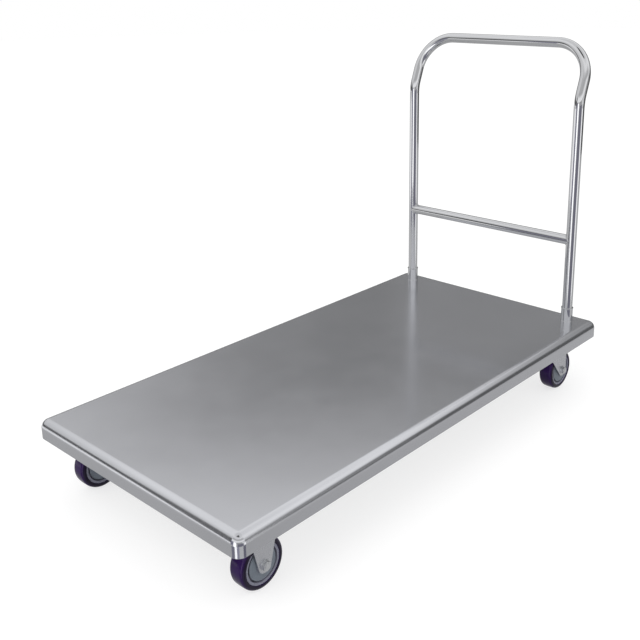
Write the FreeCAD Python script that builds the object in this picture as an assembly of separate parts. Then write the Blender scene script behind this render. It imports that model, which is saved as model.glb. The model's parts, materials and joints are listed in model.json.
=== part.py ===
import FreeCAD, Part
import math
import os

# A flat platform truck: a folded sheet deck on four casters, with a lift-out push handle.
# Millimetres, +Z up, floor at z = 0. The handle stands at the +Y end, and left is +X, as the
# person who pushes sees it. The origin is the bottom centre of the whole truck's box.

# Deck
deck_length = 1219.2
deck_width = 609.6
skirt_depth = 40.0
deck_sheet = 2.0
edge_roll = 18.4
corner_margin = 0.6

# Frame under the deck
channel_height = 34.2
channel_sheet = 2.5
channel_bend = 2.5
channel_flange = 10.0
stringer_width = 60.0
stringer_spacing = 320.0
centre_channel_width = 60.0
frame_gap = 0.3

# Handle
tube_diameter = 25.4
tube_wall = 1.65
crossbar_diameter = 25.0
post_side_inset = 60.3
post_end_inset = 48.6
bend_height = 704.4
bend_radius = 95.0
lean_angle = 21.3
lean_length = 121.8
grip_corner_radius = 90.0
crossbar_height = 377.4
plug_flange = 2.0
plug_stem = 14.0
plug_bore = 12.0

# Handle sockets
socket_wall = 1.5
socket_rise = 35.5
socket_lip = 0.8
socket_lip_height = 2.4
slide_clearance = 0.1
stop_pin_diameter = 5.0
stop_pin_height = 6.0
stop_pin_overhang = 1.0
stop_gap = 0.3
bracket_margin = 3.0
bracket_wall_margin = 8.0
weld_clearance = 0.15

# Casters
wheel_diameter = 100.0
tread_width = 35.0
tread_edge_radius = 7.5
front_wheel_inset = 93.2
caster_side_inset = 62.0
swivel_trail = 36.3
tyre_clearance = 8.2
plate_length = 100.0
plate_width = 85.0
plate_thickness = 4.0
plate_corner = 8.0
bolt_spacing_y = 80.0
fork_sheet = 2.8
fork_bend = 3.0
leg_end_radius = 15.0
rigid_leg_top = 70.0
swivel_leg_front = 34.0

# Wheel
tyre_thickness = 10.5
rim_ring = 5.0
rim_step = 1.5
rim_draft = 1.0
web_thickness = 9.0
hub_diameter = 30.0
hub_step = 1.0
hub_side_clearance = 0.75
guard_gap = 3.5
guard_thickness = 1.6
guard_dish = 1.2
guard_recess = 1.9
bearing_diameter = 24.0
bearing_width = 8.0
bearing_groove = 0.6
bushing_wall = 1.25
running_clearance = 0.05

# Axle fasteners
axle_diameter = 10.0
axle_hex = 16.0
axle_head_height = 6.4
axle_nut_height = 5.0
axle_thread_end = 0.8
axle_washer_diameter = 21.0
axle_washer_thickness = 1.0
bolt_clearance = 0.1

# Swivel bearing
kingpin_diameter = 12.0
kingpin_countersink = 3.0
kingpin_nut_hex = 19.0
kingpin_nut_height = 7.5
kingpin_nut_gap = 0.3
kingpin_end = 1.5
swivel_clearance = 0.1
ball_diameter = 6.0
ball_circle_diameter = 46.0
ball_count = 16
ball_gap = 0.3
race_bore = 24.0
race_diameter = 60.0
race_gap = 2.6
upper_race_height = 8.4
race_side_gap = 1.5
dust_lip_wall = 2.5
lower_race_height = 4.0
dust_lip_gap = 1.5

# Caster mounting fasteners
bolt_diameter = 8.0
bolt_hole_diameter = 9.0
bolt_hex = 13.0
bolt_head_height = 5.3
bolt_washer_diameter = 16.0
bolt_washer_thickness = 1.6
bolt_nut_height = 6.5
bolt_thread_end = 2.5
bolt_head_gap = 0.45
hex_chamfer = 0.9

TOLERANCE = 0.001
X_AXIS = FreeCAD.Vector(1, 0, 0)
Y_AXIS = FreeCAD.Vector(0, 1, 0)
Z_AXIS = FreeCAD.Vector(0, 0, 1)
SIDES = {"left": 1, "right": -1}

# Heights above the floor
wheel_radius = wheel_diameter / 2
swivel_crown_top = wheel_diameter + tyre_clearance + fork_sheet
lower_race_top = swivel_crown_top + lower_race_height
upper_race_bottom = lower_race_top + race_gap
ball_height = (lower_race_top + upper_race_bottom) / 2
plate_bottom = upper_race_bottom + upper_race_height
kingpin_nut_top = swivel_crown_top - fork_sheet - kingpin_nut_gap
plate_top = plate_bottom + plate_thickness
deck_underside = plate_top + channel_height
deck_top = deck_underside + deck_sheet
skirt_bottom = deck_top - skirt_depth

# Handle, measured along its centre line
tube_radius = tube_diameter / 2
lean = math.radians(lean_angle)
lean_direction = FreeCAD.Vector(0, math.sin(lean), math.cos(lean))
bend_reach = bend_radius * (1 - math.cos(lean))
grip_reach = bend_reach + lean_length * math.sin(lean)
grip_overhang = grip_reach + tube_radius - post_end_inset
post_x = deck_width / 2 - post_side_inset

# Places along Y, with the box of deck and handle centred on the origin
front_face = -(deck_length + grip_overhang) / 2
rear_face = front_face + deck_length
deck_middle = (front_face + rear_face) / 2
post_y = rear_face - post_end_inset
socket_radius = tube_radius + slide_clearance + socket_wall
bracket_half = socket_radius + bracket_margin
bend_margin = channel_bend + channel_sheet + frame_gap
channel_width = bolt_spacing_y + bolt_washer_diameter + 2 * bend_margin
kingpin_y = post_y - bracket_half - frame_gap - channel_flange - channel_width / 2
front_wheel_y = front_face + front_wheel_inset
rear_wheel_y = kingpin_y + swivel_trail
caster_x = deck_width / 2 - caster_side_inset

# Heights in the handle sockets
socket_base = plate_top
plug_bottom = socket_base + stop_pin_height + stop_pin_diameter / 2 + stop_gap

# Wheel and bearing sizes that follow from their neighbours
rim_radius = wheel_radius - tyre_thickness
rim_inner_radius = rim_radius - rim_ring
rim_width = tread_width - 2 * rim_step
hub_radius = hub_diameter / 2
hub_width = tread_width + 2 * hub_step
guard_radius = rim_inner_radius - guard_gap
bushing_radius = axle_diameter / 2 + bolt_clearance + bushing_wall
race_radius = race_diameter / 2
lower_race_radius = race_radius - race_side_gap
kingpin_radius = kingpin_diameter / 2

# Widths across a caster
fork_inner_half = hub_width / 2 + hub_side_clearance
fork_outer_half = fork_inner_half + fork_sheet
bolt_head_radius = bolt_hex / math.sqrt(3)
bolt_spacing_x = 2 * (fork_outer_half + bolt_head_radius + bolt_head_gap)
channel_half_length = deck_width / 2 - deck_sheet - edge_roll


def vec(x, y, z):
    return FreeCAD.Vector(x, y, z)


def block(x0, x1, y0, y1, z0, z1):
    return Part.makeBox(x1 - x0, y1 - y0, z1 - z0, vec(x0, y0, z0))


def rod(radius, start, end):
    return Part.makeCylinder(radius, (end - start).Length, start, end - start)


def pipe(outer_radius, inner_radius, start, end):
    return rod(outer_radius, start, end).cut(rod(inner_radius, start, end))


def prism(points, direction):
    """A closed outline pushed along a direction."""
    return Part.Face(Part.makePolygon(points + points[:1])).extrude(direction)


def hex_prism(across_flats, height, base, direction):
    """A hexagonal head or nut, with the corners of its far end turned off at 30 degrees."""
    corner = across_flats / math.sqrt(3)
    end_radius = corner * hex_chamfer
    head = Part.makeCone(end_radius + height * math.sqrt(3), end_radius, height, base, direction)
    points = [vec(corner * math.cos(a), corner * math.sin(a), 0) for a in hexagon_angles()]
    hexagon = prism(points, vec(0, 0, height))
    hexagon.Placement = FreeCAD.Placement(base, FreeCAD.Rotation(Z_AXIS, direction))
    return hexagon.common(head)


def hexagon_angles():
    return [math.radians(60 * i) for i in range(6)]


def turned(profile, centre, axis):
    """A closed (radius, height) outline turned about an axis through centre."""
    points = [vec(radius, 0, height) for radius, height in profile]
    solid = Part.Face(Part.makePolygon(points + points[:1])).revolve(vec(0, 0, 0), Z_AXIS, 360)
    solid.Placement = FreeCAD.Placement(centre, FreeCAD.Rotation(Z_AXIS, axis))
    return solid


def ring(outer_radius, inner_radius, height, base, axis):
    return turned(
        [(inner_radius, 0), (outer_radius, 0), (outer_radius, height), (inner_radius, height)],
        base,
        axis,
    )


def edges_along(solid, axis):
    """The straight edges of a solid that run along an axis."""
    found = []
    for edge in solid.Edges:
        if edge.Curve.TypeId == "Part::GeomLine":
            if abs(abs(edge.tangentAt(edge.FirstParameter).dot(axis)) - 1) < 1e-6:
                found.append(edge)
    return found


def rounded(solid, axis, height, radius):
    """The solid with its edges that run along an axis at one height rounded off."""
    edges = [edge for edge in edges_along(solid, axis) if abs(edge.Vertexes[0].Z - height) < TOLERANCE]
    return solid.makeFillet(radius, edges)


def folded_channel(half_width, half_length, closed, opened, sheet, bend):
    """A bent U section along Y, centred on the Z axis, closed at one height and open at another."""
    way = 1 if opened > closed else -1
    inside = closed + way * sheet
    outer = upright_block(half_width, half_length, closed, opened)
    inner = upright_block(half_width - sheet, half_length, inside, opened)
    return rounded(outer, Y_AXIS, closed, bend + sheet).cut(rounded(inner, Y_AXIS, inside, bend))


def upright_block(half_width, half_length, z0, z1):
    return block(-half_width, half_width, -half_length, half_length, min(z0, z1), max(z0, z1))


def moved(solid, x, y):
    solid.translate(vec(x, y, 0))
    return solid


def write(name, *solids):
    shape = solids[0] if len(solids) == 1 else Part.makeCompound(list(solids))
    shape.exportStep("parts/" + name + ".step")


# Deck


def rounded_slab(inset, top, bottom):
    """The deck's outer form, moved inwards by inset on every side."""
    slab = block(
        -deck_width / 2 + inset,
        deck_width / 2 - inset,
        front_face + inset,
        rear_face - inset,
        bottom,
        top,
    )
    slab = slab.makeFillet(edge_roll + corner_margin - inset, edges_along(slab, Z_AXIS))
    rim = [edge for edge in slab.Edges if min(v.Z for v in edge.Vertexes) > top - TOLERANCE]
    return slab.makeFillet(edge_roll - inset, rim)


def deck_pan():
    """A sheet with rolled edges, round corners, a skirt and a hole for each handle socket."""
    outer = rounded_slab(0, deck_top, skirt_bottom)
    inner = rounded_slab(deck_sheet, deck_underside, skirt_bottom - deck_sheet)
    pan = outer.cut(inner)
    for side in SIDES.values():
        centre = vec(side * post_x, post_y, deck_underside - 1)
        pan = pan.cut(rod(socket_radius + weld_clearance, centre, centre + vec(0, 0, deck_sheet + 2)))
    return pan


def hat_channel(width, half_length):
    """A hat section along Y under the deck: web below, flanges up against the sheet."""
    channel = folded_channel(
        width / 2, half_length, plate_top, deck_underside, channel_sheet, channel_bend
    )
    for side in SIDES.values():
        edge = side * width / 2
        tip = edge + side * channel_flange
        flange = block(
            min(edge, tip),
            max(edge, tip),
            -half_length,
            half_length,
            deck_underside - channel_sheet,
            deck_underside,
        )
        channel = channel.fuse(flange)
    return channel.removeSplitter()


def cross_channel(y, width, half_length):
    channel = hat_channel(width, half_length)
    channel.rotate(vec(0, 0, 0), Z_AXIS, 90)
    return moved(channel, 0, y)


def caster_channel(y):
    """A cross channel with the holes for the two casters bolted under it."""
    channel = cross_channel(y, channel_width, channel_half_length)
    for side in SIDES.values():
        for x, hole_y in bolt_places(side * caster_x, y):
            base = vec(x, hole_y, plate_bottom)
            channel = channel.cut(rod(bolt_hole_diameter / 2, base, base + vec(0, 0, channel_height)))
    return channel


def stringer(side):
    """A lengthwise hat channel that butts on the flanges of the two caster channels."""
    reach = channel_width / 2 + channel_flange
    start = front_wheel_y + reach
    end = kingpin_y - reach
    channel = hat_channel(stringer_width, (end - start) / 2)
    return moved(channel, side * stringer_spacing / 2, (start + end) / 2)


def centre_channel():
    """A short cross channel between the two stringers."""
    half_length = stringer_spacing / 2 - stringer_width / 2 - channel_flange
    return cross_channel(deck_middle, centre_channel_width, half_length)


# Handle sockets


def socket(side):
    """A tube through the deck, with a rolled lip at its mouth and cross holes for its stop pin."""
    base = vec(side * post_x, post_y, socket_base)
    bore = socket_radius - socket_wall
    height = deck_top + socket_rise - socket_base
    lip_radius = socket_radius + socket_lip
    lip_low = height - socket_lip_height
    profile = [
        (bore, 0),
        (socket_radius, 0),
        (socket_radius, lip_low),
        (lip_radius, lip_low + socket_lip / 2),
        (lip_radius, height - socket_lip / 2),
        (socket_radius, height),
        (bore, height),
    ]
    tube = turned(profile, base, Z_AXIS)
    return tube.cut(stop_pin(side))


def stop_pin(side):
    """The pin across a socket that the handle post stands on."""
    half = socket_radius + stop_pin_overhang
    centre = vec(side * post_x, post_y, socket_base + stop_pin_height)
    return rod(stop_pin_diameter / 2, centre - vec(half, 0, 0), centre + vec(half, 0, 0))


def socket_bracket(side):
    """A bent strap under the deck that holds the foot of a socket."""
    half_width = socket_radius + bracket_wall_margin + channel_sheet
    strap = folded_channel(
        half_width, bracket_half, socket_base, deck_underside, channel_sheet, channel_bend
    )
    centre = vec(0, 0, socket_base)
    hole = rod(socket_radius + weld_clearance, centre, centre + vec(0, 0, channel_height))
    return moved(strap.cut(hole), side * post_x, post_y)


# Handle


def handle_path():
    """The handle's centre line: up a post, back over the bend, across the grip and down."""
    foot = vec(post_x, post_y, plug_bottom + plug_flange)
    bend_start = vec(post_x, post_y, bend_height)
    bend_end = vec(post_x, post_y + bend_reach, bend_height + bend_radius * math.sin(lean))
    bend_middle = vec(
        post_x,
        post_y + bend_radius * (1 - math.cos(lean / 2)),
        bend_height + bend_radius * math.sin(lean / 2),
    )
    grip_end = bend_end + lean_direction * lean_length
    corner_start = grip_end - lean_direction * grip_corner_radius
    corner_end = grip_end - X_AXIS * grip_corner_radius
    corner_centre = corner_start - X_AXIS * grip_corner_radius
    corner_middle = corner_centre + (lean_direction + X_AXIS) * (grip_corner_radius / math.sqrt(2))
    half = [
        Part.LineSegment(foot, bend_start).toShape(),
        Part.Arc(bend_start, bend_middle, bend_end).toShape(),
        Part.LineSegment(bend_end, corner_start).toShape(),
        Part.Arc(corner_start, corner_middle, corner_end).toShape(),
    ]
    grip = Part.LineSegment(corner_end, mirrored_point(corner_end)).toShape()
    other = [edge.mirror(vec(0, 0, 0), X_AXIS) for edge in reversed(half)]
    return Part.Wire(half + [grip] + other), foot


def mirrored_point(point):
    return vec(-point.x, point.y, point.z)


def swept(radius):
    path, foot = handle_path()
    circle = Part.Wire(Part.Circle(foot, Z_AXIS, radius).toShape())
    return path.makePipeShell([circle], True, False)


def handle_tube():
    return swept(tube_radius).cut(swept(tube_radius - tube_wall))


def crossbar():
    """A tube between the posts, with its ends coped to their round."""
    start = vec(-post_x, post_y, crossbar_height)
    end = vec(post_x, post_y, crossbar_height)
    bar = pipe(crossbar_diameter / 2, crossbar_diameter / 2 - tube_wall, start, end)
    for side in SIDES.values():
        foot = vec(side * post_x, post_y, crossbar_height - tube_diameter)
        bar = bar.cut(rod(tube_radius, foot, foot + vec(0, 0, 2 * tube_diameter)))
    return bar


def post_plug(side):
    """A plug in the foot of a post: a flange under the tube and a hollow stem inside it."""
    base = vec(side * post_x, post_y, plug_bottom)
    flange = rod(tube_radius, base, base + vec(0, 0, plug_flange))
    stem = rod(tube_radius - tube_wall, base, base + vec(0, 0, plug_flange + plug_stem))
    bore_start = base + vec(0, 0, plug_flange)
    return flange.fuse(stem).cut(rod(plug_bore / 2, bore_start, bore_start + vec(0, 0, plug_stem)))


# Casters


def bolt_places(x, y):
    """The four bolt centres of a caster plate centred at x, y."""
    return [
        (x + sx * bolt_spacing_x / 2, y + sy * bolt_spacing_y / 2)
        for sx in (-1, 1)
        for sy in (-1, 1)
    ]


def caster_plate(x, y):
    plate = block(
        x - plate_width / 2,
        x + plate_width / 2,
        y - plate_length / 2,
        y + plate_length / 2,
        plate_bottom,
        plate_top,
    )
    plate = plate.makeFillet(plate_corner, edges_along(plate, Z_AXIS))
    for hole_x, hole_y in bolt_places(x, y):
        base = vec(hole_x, hole_y, plate_bottom - 1)
        plate = plate.cut(rod(bolt_hole_diameter / 2, base, base + vec(0, 0, plate_thickness + 2)))
    return plate


def swivel_plate(x, y):
    """A caster plate with a countersunk hole for the kingpin."""
    return caster_plate(x, y).cut(kingpin(x, y))


def leg_outline(axle_y, front, rear, crown_top):
    """A leg seen from the side, as a block across the fork: round at the axle, wide at the top."""
    points = [tangent_point(axle_y, front, crown_top, 1), vec(0, front, crown_top)]
    points += [vec(0, rear, crown_top), tangent_point(axle_y, rear, crown_top, -1)]
    offset = vec(-fork_outer_half, 0, 0)
    across = vec(2 * fork_outer_half, 0, 0)
    centre = vec(-fork_outer_half, axle_y, wheel_radius)
    outline = prism([point + offset for point in points], across)
    return outline.fuse(rod(leg_end_radius, centre, centre + across)).removeSplitter()


def tangent_point(axle_y, corner_y, crown_top, turn):
    """Where the line from a top corner touches the round end of the leg."""
    dy = corner_y - axle_y
    dz = crown_top - wheel_radius
    angle = math.atan2(dz, dy) + turn * math.acos(leg_end_radius / math.hypot(dy, dz))
    reach = vec(0, leg_end_radius * math.cos(angle), leg_end_radius * math.sin(angle))
    return vec(0, axle_y, wheel_radius) + reach


def fork_legs(axle_y, front, rear, crown_top):
    """A fork about the Z axis: bent sheet, cut to the outline of its legs."""
    middle = (front + rear) / 2
    section = folded_channel(fork_outer_half, (rear - front) / 2, crown_top, 0, fork_sheet, fork_bend)
    fork = moved(section, 0, middle).common(leg_outline(axle_y, front, rear, crown_top))
    return fork.cut(axle_hole(0, axle_y))


def rigid_fork(x, y):
    half = rigid_leg_top / 2
    return moved(fork_legs(0, -half, half, plate_bottom), x, y)


def swivel_fork(x, y):
    """A fork whose crown carries the lower race about the kingpin, ahead of the axle."""
    rear = swivel_trail + leg_end_radius
    legs = fork_legs(swivel_trail, -swivel_leg_front, rear, swivel_crown_top)
    crown_base = vec(0, 0, swivel_crown_top - fork_sheet)
    disc = rod(lower_race_radius, crown_base, vec(0, 0, lower_race_top))
    hole = rod(kingpin_radius + swivel_clearance, vec(0, 0, 0), vec(0, 0, deck_top))
    fork = legs.fuse(disc).removeSplitter().cut(ball_groove(0, 0)).cut(hole)
    return moved(fork, x, y)


def axle_hole(x, y):
    reach = vec(2 * fork_outer_half, 0, 0)
    centre = vec(x, y, wheel_radius)
    return rod(axle_diameter / 2 + bolt_clearance, centre - reach, centre + reach)


def ball_groove(x, y):
    return Part.makeTorus(ball_circle_diameter / 2, ball_diameter / 2 + ball_gap, vec(x, y, ball_height))


def upper_race(x, y):
    """The race under a swivel plate, with a lip that keeps dust off the balls."""
    lip_radius = race_radius + dust_lip_wall
    lip_drop = upper_race_bottom - swivel_crown_top - dust_lip_gap
    profile = [
        (race_bore / 2, 0),
        (race_radius, 0),
        (race_radius, -lip_drop),
        (lip_radius, -lip_drop),
        (lip_radius, upper_race_height),
        (race_bore / 2, upper_race_height),
    ]
    return turned(profile, vec(x, y, upper_race_bottom), Z_AXIS).cut(ball_groove(x, y))


def bearing_balls(x, y):
    balls = []
    for i in range(ball_count):
        angle = 2 * math.pi * i / ball_count
        reach = ball_circle_diameter / 2
        centre = vec(x + reach * math.cos(angle), y + reach * math.sin(angle), ball_height)
        balls.append(Part.makeSphere(ball_diameter / 2, centre))
    return balls


def kingpin(x, y):
    """A pin with a countersunk head flush in the plate, down through the fork's crown."""
    low = kingpin_nut_top - kingpin_nut_height - kingpin_end
    high = plate_top - low
    profile = [
        (0, 0),
        (kingpin_radius, 0),
        (kingpin_radius, high - kingpin_countersink),
        (kingpin_radius + kingpin_countersink, high),
        (0, high),
    ]
    return turned(profile, vec(x, y, low), Z_AXIS)


def kingpin_nut(x, y):
    nut = hex_prism(kingpin_nut_hex, kingpin_nut_height, vec(x, y, kingpin_nut_top), -Z_AXIS)
    return nut.cut(kingpin(x, y))


# Wheel


def tyre(x, y):
    """A tread band with rounded edges, bonded to the rim."""
    half = tread_width / 2
    inner = rim_radius
    edge = wheel_radius - tread_edge_radius
    flat = half - tread_edge_radius
    bulge = tread_edge_radius * math.sqrt(0.5)
    left_middle = vec(edge + bulge, 0, -flat - bulge)
    right_middle = vec(edge + bulge, 0, flat + bulge)
    outline = [
        Part.LineSegment(vec(inner, 0, half), vec(inner, 0, -half)),
        Part.LineSegment(vec(inner, 0, -half), vec(edge, 0, -half)),
        Part.Arc(vec(edge, 0, -half), left_middle, vec(wheel_radius, 0, -flat)),
        Part.LineSegment(vec(wheel_radius, 0, -flat), vec(wheel_radius, 0, flat)),
        Part.Arc(vec(wheel_radius, 0, flat), right_middle, vec(edge, 0, half)),
        Part.LineSegment(vec(edge, 0, half), vec(inner, 0, half)),
    ]
    face = Part.Face(Part.Wire([curve.toShape() for curve in outline]))
    solid = face.revolve(vec(0, 0, 0), Z_AXIS, 360)
    solid.Placement = FreeCAD.Placement(vec(x, y, wheel_radius), FreeCAD.Rotation(Z_AXIS, X_AXIS))
    return solid


def wheel_core(x, y):
    """Rim, web and hub in one piece, dished on both sides."""
    bore = bearing_diameter / 2
    step = web_thickness / 2
    web_edge = rim_inner_radius - rim_draft
    profile = [
        (bore, -hub_width / 2),
        (hub_radius, -hub_width / 2),
        (hub_radius, -step),
        (web_edge, -step),
        (rim_inner_radius, -rim_width / 2),
        (rim_radius, -rim_width / 2),
        (rim_radius, rim_width / 2),
        (rim_inner_radius, rim_width / 2),
        (web_edge, step),
        (hub_radius, step),
        (hub_radius, hub_width / 2),
        (bore, hub_width / 2),
    ]
    return turned(profile, vec(x, y, wheel_radius), X_AXIS)


def thread_guard(x, y, side):
    """A dished washer on the hub that covers the web of the wheel."""
    face = hub_width / 2 - guard_recess
    profile = [
        (hub_radius, face - guard_thickness),
        (guard_radius, face - guard_thickness - guard_dish),
        (guard_radius, face - guard_dish),
        (hub_radius, face),
    ]
    return turned(profile, vec(x, y, wheel_radius), X_AXIS * side)


def wheel_bearing(x, y, side):
    """A shielded bearing in one end of the hub."""
    bore = bushing_radius + running_clearance
    outer = bearing_diameter / 2
    middle = (bore + outer) / 2
    shield = (outer - bore) / 4
    back = hub_width / 2 - bearing_width
    face = hub_width / 2
    profile = [
        (bore, back),
        (outer, back),
        (outer, face),
        (middle + shield, face),
        (middle + shield, face - bearing_groove),
        (middle - shield, face - bearing_groove),
        (middle - shield, face),
        (bore, face),
    ]
    return turned(profile, vec(x, y, wheel_radius), X_AXIS * side)


def axle_bushing(x, y):
    half = vec(fork_inner_half, 0, 0)
    centre = vec(x, y, wheel_radius)
    return pipe(bushing_radius, axle_diameter / 2 + bolt_clearance, centre - half, centre + half)


def axle_bolt(x, y, side):
    """A hexagon bolt with its head on the inner leg and its thread end past the outer nut."""
    centre = vec(x, y, wheel_radius)
    out = X_AXIS * side
    seat = fork_outer_half + axle_washer_thickness
    tip = seat + axle_nut_height + axle_thread_end
    shank = rod(axle_diameter / 2, centre - out * seat, centre + out * tip)
    return shank.fuse(hex_prism(axle_hex, axle_head_height, centre - out * seat, -out)).removeSplitter()


def axle_nut(x, y, side):
    """The nut outside and a washer on each leg."""
    centre = vec(x, y, wheel_radius)
    out = X_AXIS * side
    seat = centre + out * (fork_outer_half + axle_washer_thickness)
    bore = rod(axle_diameter / 2, seat, seat + out * axle_nut_height)
    nut = hex_prism(axle_hex, axle_nut_height, seat, out).cut(bore)
    washers = []
    for way in (out, -out):
        base = centre + way * fork_outer_half
        washers.append(
            ring(axle_washer_diameter / 2, axle_diameter / 2, axle_washer_thickness, base, way)
        )
    return [nut] + washers


# Caster mounting fasteners


def mounting_bolt(x, y):
    stack = plate_thickness + channel_sheet + bolt_washer_thickness + bolt_nut_height
    base = vec(x, y, plate_bottom)
    shank = rod(bolt_diameter / 2, base, base + vec(0, 0, stack + bolt_thread_end))
    return shank.fuse(hex_prism(bolt_hex, bolt_head_height, base, -Z_AXIS)).removeSplitter()


def mounting_washer(x, y):
    base = vec(x, y, plate_top + channel_sheet)
    return ring(bolt_washer_diameter / 2, bolt_diameter / 2, bolt_washer_thickness, base, Z_AXIS)


def mounting_nut(x, y):
    base = vec(x, y, plate_top + channel_sheet + bolt_washer_thickness)
    nut = hex_prism(bolt_hex, bolt_nut_height, base, Z_AXIS)
    return nut.cut(rod(bolt_diameter / 2, base, base + vec(0, 0, bolt_nut_height)))


# Sub-assemblies


def write_deck():
    write("deck_pan", deck_pan())
    write("front_cross_channel", caster_channel(front_wheel_y))
    write("rear_cross_channel", caster_channel(kingpin_y))
    write("centre_cross_channel", centre_channel())
    for name, side in SIDES.items():
        write(name + "_stringer", stringer(side))
        write(name + "_handle_socket", socket(side))
    write("socket_brackets", *[socket_bracket(side) for side in SIDES.values()])
    write("socket_stop_pins", *[stop_pin(side) for side in SIDES.values()])


def write_handle():
    write("handle_tube", handle_tube())
    write("handle_crossbar", crossbar())
    write("post_plugs", *[post_plug(side) for side in SIDES.values()])


def write_mounting_fasteners():
    places = []
    for side in SIDES.values():
        places += bolt_places(side * caster_x, front_wheel_y)
        places += bolt_places(side * caster_x, kingpin_y)
    write("caster_mounting_bolts", *[mounting_bolt(x, y) for x, y in places])
    write("caster_mounting_washers", *[mounting_washer(x, y) for x, y in places])
    write("caster_mounting_nuts", *[mounting_nut(x, y) for x, y in places])


def write_wheel(name, x, y):
    write(name + "_tyre", tyre(x, y))
    write(name + "_wheel_core", wheel_core(x, y))
    write(name + "_thread_guards", thread_guard(x, y, 1), thread_guard(x, y, -1))
    write(name + "_wheel_bearings", wheel_bearing(x, y, 1), wheel_bearing(x, y, -1))


def write_rigid_casters():
    bolts = []
    nuts = []
    bushings = []
    for name, side in SIDES.items():
        x = side * caster_x
        write("front_" + name + "_plate", caster_plate(x, front_wheel_y))
        write("front_" + name + "_fork", rigid_fork(x, front_wheel_y))
        write_wheel("front_" + name, x, front_wheel_y)
        bolts.append(axle_bolt(x, front_wheel_y, side))
        nuts += axle_nut(x, front_wheel_y, side)
        bushings.append(axle_bushing(x, front_wheel_y))
    write("front_axle_bolts", *bolts)
    write("front_axle_nuts", *nuts)
    write("front_axle_bushings", *bushings)


def write_swivel_casters():
    for name, side in SIDES.items():
        x = side * caster_x
        caster = "rear_" + name
        write(caster + "_plate", swivel_plate(x, kingpin_y))
        write(caster + "_upper_race", upper_race(x, kingpin_y))
        write(caster + "_bearing_balls", *bearing_balls(x, kingpin_y))
        write(caster + "_kingpin", kingpin(x, kingpin_y))
        write(caster + "_kingpin_nut", kingpin_nut(x, kingpin_y))
        write(caster + "_fork", swivel_fork(x, kingpin_y))
        write(caster + "_axle_bolt", axle_bolt(x, rear_wheel_y, side))
        write(caster + "_axle_nut", *axle_nut(x, rear_wheel_y, side))
        write(caster + "_axle_bushing", axle_bushing(x, rear_wheel_y))
        write_wheel(caster, x, rear_wheel_y)


os.makedirs("parts", exist_ok=True)
write_deck()
write_handle()
write_mounting_fasteners()
write_rigid_casters()
write_swivel_casters()
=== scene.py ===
"""Looks of a stainless steel flat platform truck: finishes, rounded pieces, light and camera.

Metres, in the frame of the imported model: +Z up, floor at z = 0, the handle at the +Y end.
"""

import json
import math

import bmesh
import bpy
from mathutils import Matrix, Vector

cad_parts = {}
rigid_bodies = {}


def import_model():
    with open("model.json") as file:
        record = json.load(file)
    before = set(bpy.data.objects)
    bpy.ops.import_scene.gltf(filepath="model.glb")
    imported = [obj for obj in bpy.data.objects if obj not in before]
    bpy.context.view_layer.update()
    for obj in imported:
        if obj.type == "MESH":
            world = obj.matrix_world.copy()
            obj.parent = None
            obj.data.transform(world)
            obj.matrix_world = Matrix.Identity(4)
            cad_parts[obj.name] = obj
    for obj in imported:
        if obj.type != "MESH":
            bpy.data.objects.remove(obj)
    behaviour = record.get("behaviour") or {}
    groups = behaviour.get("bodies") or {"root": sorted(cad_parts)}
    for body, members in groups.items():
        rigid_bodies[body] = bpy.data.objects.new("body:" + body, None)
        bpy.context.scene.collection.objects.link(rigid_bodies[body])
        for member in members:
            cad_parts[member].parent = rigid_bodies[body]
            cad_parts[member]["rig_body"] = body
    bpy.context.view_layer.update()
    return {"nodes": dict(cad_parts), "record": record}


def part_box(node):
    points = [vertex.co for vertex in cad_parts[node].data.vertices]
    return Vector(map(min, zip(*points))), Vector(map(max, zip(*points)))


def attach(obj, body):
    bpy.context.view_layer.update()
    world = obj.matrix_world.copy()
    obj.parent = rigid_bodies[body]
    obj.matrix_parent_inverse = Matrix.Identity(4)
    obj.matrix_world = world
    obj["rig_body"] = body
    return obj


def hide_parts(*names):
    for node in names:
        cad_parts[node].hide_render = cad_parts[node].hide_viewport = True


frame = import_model()

MM = 0.001
X_AXIS = Vector((1, 0, 0))
Y_AXIS = Vector((0, 1, 0))
Z_AXIS = Vector((0, 0, 1))
SIDES = {"left": 1, "right": -1}
ENDS = ("front", "rear")

# Camera, set to the photograph's viewing angle: metres, degrees and a lens in mm
CAMERA_PLACE = (1.2529, -1.4119, 1.0335)
CAMERA_AZIMUTH = 43.48
CAMERA_PITCH = 15.83
CAMERA_ROLL = -1.14
CAMERA_LENS = 50.42
CAMERA_SHIFT_Y = -0.15

# Sheet deck; a corner is rounder in plan than the edge roll, by the margin
SHEET = 2 * MM
EDGE_ROLL = 18.4 * MM
CORNER_MARGIN = 0.6 * MM
HEM_ROUND = 0.9 * MM
SOCKET_HOLE_GAP = 0.15 * MM

# Handle
TUBE_RADIUS = 12.7 * MM
HANDLE_LEAN = math.radians(21.3)
BEND_RADIUS = 95 * MM
GRIP_CORNER_RADIUS = 90 * MM

# Handle socket
SOCKET_WALL = 1.5 * MM
SOCKET_LIP = 0.8 * MM
SOCKET_LIP_HEIGHT = 2.4 * MM
SOCKET_EASE = 0.5 * MM

# Weld beads: the radius of each, the gap from the socket to its bead's middle, and the ripples
CROSSBAR_BEAD = 1.5 * MM
SOCKET_BEAD = 0.7 * MM
SOCKET_BEAD_GAP = 0.2 * MM
WELD_RIPPLE = 0.14 * MM
WELD_RIPPLES = 28
POINTS_PER_RIPPLE = 4

# Tyre; the lip is its moulded edge against the rim
TYRE_DEPTH = 10.5 * MM
TYRE_LIP_RISE = 0.5 * MM
TYRE_LIP_INSET = 0.4 * MM
TREAD_EDGE = 7.5 * MM
TREAD_CROWN = 0.35 * MM

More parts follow.
